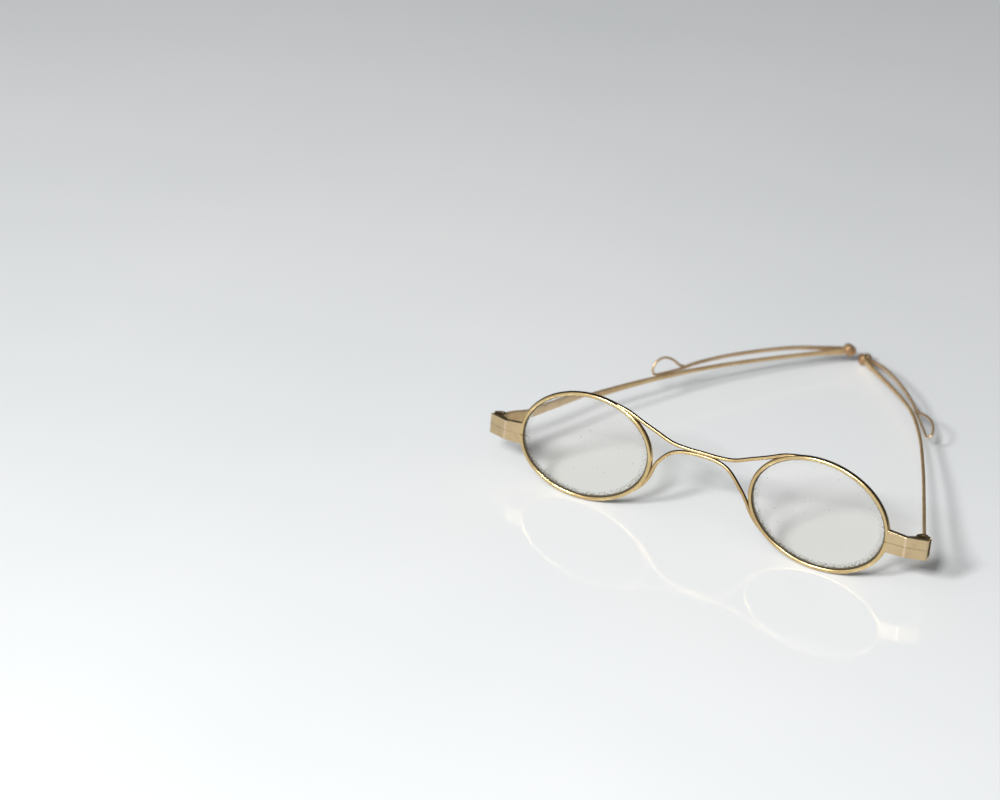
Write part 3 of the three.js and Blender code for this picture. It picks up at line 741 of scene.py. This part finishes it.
def bridge_solder(count=90):
    """Solder that fills the crease between the two wires in the middle of the bridge."""
    x = np.linspace(-SOLDER_REACH, SOLDER_REACH, count)
    part = np.abs(x) / SOLDER_REACH

    def wire(half, middle):
        return smooth_steps([(-a, b) for a, b in half] + [(0, middle)] + half[::-1], x)

    upper = wire(UPPER_HALF[-2:], BRIDGE_UPPER)
    lower = wire(LOWER_HALF["right"][-3:], BRIDGE_LOWER)
    thickness = SOLDER_HALF_THICKNESS * np.sqrt(np.clip(1 - part ** 4, 0.02, 1))
    height = np.clip((upper - lower) * 0.34, SOLDER_LEAST, SOLDER_MOST) * np.clip(1.3 - part, 0.2, 1)
    centre = np.stack([x, np.zeros(count), (upper + lower) / 2 + 0.08 * part], axis=1)
    across = np.tile([0.0, 0.0, 1.0], (count, 1))
    up = np.tile([0.0, 1.0, 0.0], (count, 1))
    section = circle(1, 16)[None] * np.stack([height, thickness], axis=1)[:, None]
    return swept(centre, across, up, section)


def end_piece(side, is_upper):
    """Half of an end piece: a plate folded round to the hinge, with its knuckle of the barrel."""
    to_front = front_frame.inverted() @ hinge_frames[side]

    def in_hinge(mesh):
        return moved(mesh, to_front)

    half_barrel = (LUG_TOP - LUG_BOTTOM) / 2
    gap = LUG_GAP / 2
    split = LUG_SPLIT + (gap if is_upper else -gap)
    slope = (LUG_OUTER_FRONT - LUG_FRONT) / (LUG_OUTER - LUG_FOLD)
    plan = [
        (LUG_INNER, LUG_FRONT),
        (LUG_FOLD - LUG_FACET, LUG_FRONT),
        (LUG_FOLD + LUG_FACET, LUG_FRONT + LUG_FACET * slope),
        (LUG_OUTER - LUG_CORNER, LUG_OUTER_FRONT - LUG_CORNER * slope),
        (LUG_OUTER, LUG_OUTER_FRONT + LUG_CORNER * 0.6),
        (LUG_OUTER, LUG_END_BACK),
        (HINGE_ACROSS + BARREL_RADIUS * 0.8, HINGE_BEHIND + BARREL_RADIUS * 0.6),
        (HINGE_ACROSS, HINGE_BEHIND),
        (HINGE_ACROSS - BARREL_RADIUS * 0.9, HINGE_BEHIND - 0.9),
        (LUG_FOLD, LUG_BACK),
        (LUG_INNER, LUG_BACK),
    ]
    beyond = LUG_OUTER + 1
    if is_upper:
        outline = [(LUG_INNER, split), (beyond, split), (beyond, LUG_TOP), (LUG_FOLD, LUG_TOP),
                   (LUG_INNER, LUG_TOP_AT_RIM)]
    else:
        outline = [(LUG_INNER, LUG_BOTTOM), (beyond, LUG_BOTTOM), (beyond, split), (LUG_INNER, split)]
    inner_end = KNUCKLE_HEIGHT / 2 + KNUCKLE_GAP
    low, high = (inner_end, half_barrel) if is_upper else (-half_barrel, -inner_end)
    steps = [
        ("INTERSECT", upright(prism(outline, -6, 3))),
        ("DIFFERENCE", in_hinge(cylinder(KNUCKLE_RADIUS + KNUCKLE_ROOM, -inner_end, inner_end))),
        ("UNION", in_hinge(cylinder(BARREL_RADIUS, low, high))),
        ("DIFFERENCE", in_hinge(cylinder(BARREL_BORE, -half_barrel - 2, half_barrel + 2))),
    ]
    if is_upper:
        seat = half_barrel - SCREW_HEAD - 0.08
        steps.append(("DIFFERENCE", in_hinge(cylinder(SCREW_HEAD_RADIUS + 0.1, seat, half_barrel + 2))))
    bottom = LUG_OUTER - CHANNEL_DEPTH
    channel = [
        (bottom, CHANNEL_FRONT), (beyond, CHANNEL_FRONT), (beyond, CHANNEL_BACK), (bottom, CHANNEL_BACK),
    ]
    steps.append(("DIFFERENCE", prism(channel, -8, 4)))
    angles = np.linspace(0, 2 * math.pi, 160, endpoint=False)
    oval = [tuple(oval_point(angle, 0.02)[0][[0, 2]]) for angle in angles]
    steps.append(("DIFFERENCE", upright(prism(oval, -3, 3))))
    return carved(prism(plan, -6, 2), *steps)


def hinge_screw():
    """A slotted screw about the hinge axis, with rings that stand for a thread on its shank."""
    half_barrel = (LUG_TOP - LUG_BOTTOM) / 2
    top = half_barrel - 0.06
    under_head = top - SCREW_HEAD
    tip = SCREW_TIP - half_barrel
    thread_from = THREAD_FROM - half_barrel
    profile = [(0, tip), (SCREW_RADIUS * 0.7, tip), (SCREW_RADIUS, SCREW_TIP_TAPER - half_barrel)]
    for i in range(THREAD_TURNS):
        base = thread_from + i * THREAD_PITCH
        profile += [(SCREW_RADIUS, base), (SCREW_RADIUS - THREAD_DEPTH, base + THREAD_PITCH / 2)]
    profile += [(SCREW_RADIUS, thread_from + THREAD_TURNS * THREAD_PITCH), (SCREW_RADIUS, under_head)]
    head = [(SCREW_RADIUS, under_head), (SCREW_HEAD_RADIUS, under_head), (SCREW_HEAD_RADIUS, top - 0.16),
            (SCREW_HEAD_RADIUS * 0.6, top - 0.03), (0, top)]
    half_slot = SCREW_SLOT_WIDTH / 2
    slot = [(-half_slot, -2), (half_slot, -2), (half_slot, 2), (-half_slot, 2)]
    slot = prism(slot, top - SCREW_SLOT_DEPTH, top + 1)
    turn = Matrix.Rotation(math.radians(28), 4, "Z")
    whole = turned([*profile, *rounded_profile(head, 0.08)[1:]], 40)
    return carved(whole, ("DIFFERENCE", moved(slot, turn)))


# ---- Temples, drawn in the hinge's frame ----

def temple_path(side, count=260):
    """Places along the bowed strip's centreline, seen from above."""
    end = np.array([0, chords[side]])
    direction = end - np.array(BOWS[side][-1])
    direction /= np.linalg.norm(direction)
    return through([*BOWS[side], end - direction * STRIP_FLAT_END], count), end


def strip(path, thickness, heights, middles, edge):
    """A flat strip standing on edge along a plane path, with a rounded section."""
    side = normals_2d(path)
    count = len(path)
    centre = np.stack([path[:, 0], path[:, 1], middles], axis=1)
    across = np.stack([side[:, 0], side[:, 1], np.zeros(count)], axis=1)
    up = np.tile([0.0, 0.0, 1.0], (count, 1))
    sections = np.array([rounded_box(t, h, edge) for t, h in zip(np.broadcast_to(thickness, count), heights)])
    return swept(centre, across, up, sections)


def closed_ring(corners, radius, steps=4):
    """A ring turned about z from a closed profile whose corners are rounded, apart from the first."""
    profile = rounded_profile([*corners, corners[0]], radius, steps)
    return turned([*profile[:-1], profile[0]])


def temple_mesh(side):
    """A strip, its hinge knuckle on a thin neck at one end and a flat eye for the turn pin at the other."""
    bow, end = temple_path(side)
    path = respaced(np.vstack([bow, end]), 300)
    heights = smooth_steps(STRIP_HEIGHTS, path[:, 1])
    rises = RISES[side] * np.sin(math.pi * np.clip(path[:, 1] / chords[side], 0, 1)) ** 2
    start = np.argmax(path[:, 1] > STRIP_FROM)
    body = strip(path[start:], STRIP_THICKNESS, heights[start:], rises[start:], STRIP_ROUNDING)
    body = carved(body, ("DIFFERENCE", cylinder(BARREL_RADIUS + KNUCKLE_ROOM, -4, 4)))

    stop = np.argmax(path[:, 1] > NECK_TO)
    neck_heights = np.full(stop, KNUCKLE_HEIGHT * 0.98)
    neck = strip(path[:stop], STRIP_THICKNESS * 0.98, neck_heights, np.zeros(stop), NECK_ROUNDING)
    neck = carved(neck, ("DIFFERENCE", cylinder(BARREL_BORE + 0.2, -4, 4)))
    half = KNUCKLE_HEIGHT / 2
    corners = [(BARREL_BORE, -half), (KNUCKLE_RADIUS, -half), (KNUCKLE_RADIUS, half), (BARREL_BORE, half)]
    knuckle = closed_ring(corners, 0.1)

    to_hinge = hinge_frames[side].inverted() @ pin_frames[side]
    half = STRIP_THICKNESS / 2
    bore = PIN_RADIUS + PIN_ROOM
    eye = closed_ring([(bore, -half), (TEMPLE_EYE, -half), (TEMPLE_EYE, half), (bore, half)], 0.22, 5)
    body = carved(body, ("DIFFERENCE", moved(cylinder(PIN_RADIUS + 0.2, -3, 3), to_hinge)))
    return joined(body, neck, knuckle, moved(eye, to_hinge))


# ---- Turn pins and washers, drawn in the turn pin's frame ----

def turn_pin_mesh():
    """A rivet with a domed head toward the wearer and a peened end outside the rear section."""
    inner = -STRIP_THICKNESS / 2 - PIN_GAP
    outer = REAR_MIDDLE + REAR_THICKNESS / 2 + WASHER + 2 * WASHER_ROOM
    head = PIN_HEAD + 0.04 - PIN_GAP
    dome = [(PIN_HEAD_RADIUS * math.sin(a), inner - head * (0.12 + 0.88 * math.cos(a)))
            for a in np.linspace(0, math.pi / 2, 12)]
    dome[0] = (0, dome[0][1])
    rivet_radius = PIN_HEAD_RADIUS * 0.66
    rivet = [(rivet_radius * math.cos(a), outer + PIN_HEAD * (0.06 + 0.64 * math.sin(a)))
             for a in np.linspace(0, math.pi / 2, 10)]
    rivet[-1] = (0, rivet[-1][1])
    shank = [(PIN_HEAD_RADIUS, inner), (PIN_RADIUS, inner), (PIN_RADIUS, outer), (rivet_radius, outer)]
    return turned([*dome, *shank, *rivet])


def washer_mesh(low, thickness, radius):
    bore = PIN_RADIUS + 0.1
    return closed_ring([(bore, low), (radius, low), (radius, low + thickness), (bore, low + thickness)], 0.06)


# ---- Rear sections, drawn with x forward from the turn pin, y outward and z up ----

def rear_path(side, count=150):
    """The rear section's line seen from above, beside the temple's, and ending at its full length."""
    bow, _ = temple_path(side, 400)
    to_pin = np.array(pin_frames[side].inverted() @ hinge_frames[side])
    flat = np.stack([bow[:, 0], bow[:, 1], np.zeros(len(bow))], axis=1)
    beside = flat @ to_pin[:3, :3].T + to_pin[:3, 3]
    path = np.stack([-beside[:, 0], beside[:, 2] + REAR_MIDDLE], axis=1)[::-1]
    path = path[path[:, 0] > STRIP_FLAT_END]
    length = REAR_LENGTHS[side]
    tip = (length, np.interp(length, path[:, 0], path[:, 1]))
    return respaced(np.vstack([(0, REAR_MIDDLE), path[path[:, 0] < length], tip]), count)


def wire_loop(side):
    """The drop-shaped loop of wire, with x along its length from the arm's end and z up."""
    length, height, twist, pitch = LOOPS[side]
    outline = [(-0.6, 0.1), *[(length * a, height * b) for a, b in LOOP_PLACES], (-0.6, -0.1)]
    curve = through(outline, 120)
    normal = normals_2d(curve)
    count = len(curve)
    centre = np.stack([curve[:, 0], np.zeros(count), curve[:, 1]], axis=1)
    across = np.stack([normal[:, 0], np.zeros(count), normal[:, 1]], axis=1)
    up = np.tile([0.0, 1.0, 0.0], (count, 1))
    ends = np.minimum(np.linspace(0, 1, count), np.linspace(1, 0, count))
    swell = smooth_steps(LOOP_SWELL, ends)
    loop = swept(centre, across, up, circle(LOOP_RADIUS, 16)[None] * swell[:, None, None])
    lift = Matrix.Rotation(math.radians(pitch), 4, "Y")
    return moved(loop, lift @ Matrix.Rotation(-math.radians(twist), 4, "X"))


def rear_mesh(side):
    """An arched arm with a flat eye for the turn pin at one end and the wire loop at the other."""
    path = rear_path(side)
    end = path[-1]
    part = path[:, 0] / end[0]
    middles = smooth_steps(ARCHES[side], part)
    heights = REAR_HEIGHT + (REAR_WAIST - REAR_HEIGHT) * part
    heights = heights * np.clip((1 - part) / 0.02, 0.75, 1)
    thickness = np.full(len(path), REAR_THICKNESS)
    arm = outward(strip(path, thickness, heights, middles, REAR_ROUNDING))

    heading = end - path[-4]
    turn = Matrix.Rotation(math.atan2(heading[1], heading[0]), 4, "Z")
    loop = moved(wire_loop(side), Matrix.Translation((end[0], end[1], middles[-1])) @ turn)

    low, high = REAR_MIDDLE - REAR_THICKNESS / 2, REAR_MIDDLE + REAR_THICKNESS / 2
    bore = PIN_RADIUS + PIN_ROOM
    sideways = Matrix.Rotation(-math.pi / 2, 4, "X")
    eye = closed_ring([(bore, low), (REAR_EYE, low), (REAR_EYE, high), (bore, high)], 0.18, 5)
    hole = moved(cylinder(bore + 0.15, -2, 4), sideways)
    return joined(carved(arm, ("DIFFERENCE", hole)), outward(loop), outward(moved(eye, sideways)))


# ---- Values that the meshes carry for their materials ----

def set_marks(made, name, domain, values):
    marks = made.data.attributes.new(name, "FLOAT", domain)
    marks.data.foreach_set("value", np.array(values, np.float32))


def mark_plate(plate, sign):
    """Attributes for the material: fold marks the narrow face along the fold for a painted highlight, end the
    outer end face for a painted dark reflection.
    """
    to_front = front_frame.to_3x3().transposed()
    fold_sheen_faces, ends = [], []
    for face in plate.data.polygons:
        normal = to_front @ Vector((face.normal.x * sign, face.normal.y, face.normal.z))
        fold_sheen_faces.append(normal.y < -0.9 and 0.08 < normal.x < 0.25)
        ends.append(0.85 if normal.x > 0.75 else 0)
    set_marks(plate, "fold", "FACE", fold_sheen_faces)
    set_marks(plate, "end", "FACE", ends)


def mark_lens(lens, inset):
    """Attributes for the material: inset is the distance from the edge, lowness is 1 at the bottom."""
    heights = np.array([v.co.z for v in lens.data.vertices])
    set_marks(lens, "inset", "POINT", inset)
    set_marks(lens, "lowness", "POINT", 1 - (heights - heights.min()) / np.ptp(heights))


# ---- Assembly ----

def placed(mesh, place):
    return outward(moved(mesh, place))


lens_places, lens_inset = lens_mesh()
spacer = washer_mesh(STRIP_THICKNESS / 2 + WASHER_ROOM, SPACER, WASHER_RADIUS)
washer = washer_mesh(REAR_MIDDLE + REAR_THICKNESS / 2 + WASHER_ROOM, WASHER, WASHER_RADIUS)
for side, sign in SIDES.items():
    eyewire = placed(eyewire_mesh(), front_frame)
    piece(f"rim_{side}", eyewire, rim_gold_painted_dark_top, "front", f"eyewire_{side}", sign)
    lens = placed(lens_places, front_frame)
    mark_lens(piece(f"glass_{side}", lens, lens_clear, "front", f"lens_{side}", sign), lens_inset)
    for part in ("upper", "lower"):
        plate = placed(end_piece(side, part == "upper"), front_frame)
        plate = piece(f"end_plate_{part}_{side}", plate, plate_gold_painted_sheen_and_shade, "front", f"endpiece_{part}_{side}",
                      sign, edge=LUG_EDGE)
        mark_plate(plate, sign)

    body = f"temple_{side}"
    at_hinge, at_pin = hinge_frames[side], pin_frames[side]
    pin_x, pin_y, pin_z = (Vector(at_pin.col[i][:3]) for i in range(3))
    at_rear = basis(-pin_x, pin_z, pin_y, at_pin.translation)
    for name, mesh, material, rides_on, node, slot in (
        ("screw", placed(hinge_screw(), at_hinge), screw_brass, "front", "hinge_screw", "screw_metal"),
        ("temple_strip", placed(temple_mesh(side), at_hinge), temple_gold, body, "temple", "gold"),
        ("pin", placed(turn_pin_mesh(), at_pin), knob_gold, body, "turn_pin", "gold"),
        ("spacer", placed(spacer, at_pin), screw_brass, body, "pin_spacer", "screw_metal"),
        ("washer", placed(washer, at_pin), screw_brass, body, "pin_washer", "screw_metal"),
        ("rear_arm", moved(rear_mesh(side), at_rear), rear_gold, f"rear_{side}", "rear_section", "gold"),
    ):
        piece(f"{name}_{side}", mesh, material, rides_on, f"{node}_{side}", sign)

upper_half = bridge_half(UPPER_RIM, UPPER_HALF)
lower_halves = [bridge_half(LOWER_RIM[side], LOWER_HALF[side]) for side in SIDES]
upper_wire = placed(bridge_wire(upper_half, upper_half, BRIDGE_UPPER), front_frame)
lower_wire = placed(bridge_wire(*lower_halves, BRIDGE_LOWER), front_frame)
upper_wire = joined(upper_wire, placed(bridge_solder(), front_frame))
piece("bridge_upper", upper_wire, bridge_gold_painted_dark_top, "front", "bridge_upper_wire")
piece("bridge_lower", lower_wire, bridge_gold_painted_dark_top, "front", "bridge_lower_wire")


# ---- Table, light and camera ----

def table_top():
    n = Nodes("white_table")
    tone = n.blend(n.span(n.noise(160, 3), 0.3, 0.7), colour(226, 229, 230), colour(231, 233, 233))
    gloss = n.span(n.noise(60, 4), 0.3, 0.7, 0.05, 0.09)
    shader = n.add("ShaderNodeBsdfPrincipled", {
        "Base Color": tone, "Roughness": gloss, "Specular IOR Level": 0.5})
    n.tree.links.new(shader.outputs[0], n.output.inputs[0])
    half = TABLE_HALF / MM
    corners = np.array([(-half, -half, 0), (half, -half, 0), (half, half, 0), (-half, half, 0)])
    made = to_object("table_top", (corners, [(0, 1, 2, 3)]))
    made.data.transform(Matrix.Scale(MM, 4))
    made.data.materials.append(n.material)


def from_camera(left, elevation, distance):
    """A place in metres, so many degrees to the left of the camera as the object sees it."""
    turn = math.radians(CAMERA_AZIMUTH - left)
    up = math.radians(elevation)
    return Vector((math.sin(turn) * math.cos(up), -math.cos(turn) * math.cos(up), math.sin(up))) * distance


def soft_light(name, left, elevation, power):
    """A square light that points at the middle of the frame."""
    data = bpy.data.lights.new(name, "AREA")
    data.shape = "RECTANGLE"
    data.size, data.size_y = LIGHT_SIZE, LIGHT_SIZE
    data.energy = power
    made = bpy.data.objects.new(name, data)
    made.location = from_camera(left, elevation, LIGHT_DISTANCE)
    made.rotation_euler = (-made.location).to_track_quat("-Z", "Y").to_euler()
    bpy.context.scene.collection.objects.link(made)


def room():
    """A room that is pale in front and overhead and dark behind, so that the wires show dark lines."""
    world = bpy.data.worlds.new("room")
    bpy.context.scene.world = world
    world.use_nodes = True
    tree = world.node_tree
    direction = tree.nodes.new("ShaderNodeTexCoord").outputs["Generated"]
    facing = tree.nodes.new("ShaderNodeVectorMath")
    facing.operation = "DOT_PRODUCT"
    facing.inputs[1].default_value = Vector(ROOM_TOWARD).normalized()
    tree.links.new(direction, facing.inputs[0])
    level = tree.nodes.new("ShaderNodeMapRange")
    level.inputs["From Min"].default_value = -1
    tree.links.new(facing.outputs["Value"], level.inputs["Value"])
    ramp = tree.nodes.new("ShaderNodeValToRGB")
    tree.links.new(level.outputs["Result"], ramp.inputs["Fac"])
    while len(ramp.color_ramp.elements) < len(ROOM_LEVELS):
        ramp.color_ramp.elements.new(0.5)
    for element, (position, brightness) in zip(ramp.color_ramp.elements, ROOM_LEVELS):
        element.position = position
        element.color = (brightness, brightness, brightness * 1.02, 1)
    tree.links.new(ramp.outputs["Color"], tree.nodes["Background"].inputs["Color"])


def camera():
    data = bpy.data.cameras.new("camera")
    data.lens = CAMERA_LENS
    data.sensor_width = 36
    data.clip_start = 0.01
    data.dof.use_dof = True
    data.dof.focus_distance = CAMERA_FOCUS
    data.dof.aperture_fstop = CAMERA_F_STOP
    made = bpy.data.objects.new("camera", data)
    place = front_origin * MM + Vector(CAMERA_FROM_FRONT)
    aim = Vector(CAMERA_FORWARD).to_track_quat("-Z", "Y").to_matrix().to_4x4()
    roll = Matrix.Rotation(math.radians(CAMERA_ROLL), 4, "Z")
    made.matrix_world = Matrix.Translation(place) @ aim @ roll
    bpy.context.scene.collection.objects.link(made)
    bpy.context.scene.camera = made


table_top()
room()
for light in LIGHTS:
    soft_light(*light)
camera()
bpy.context.scene.view_settings.view_transform = "Standard"
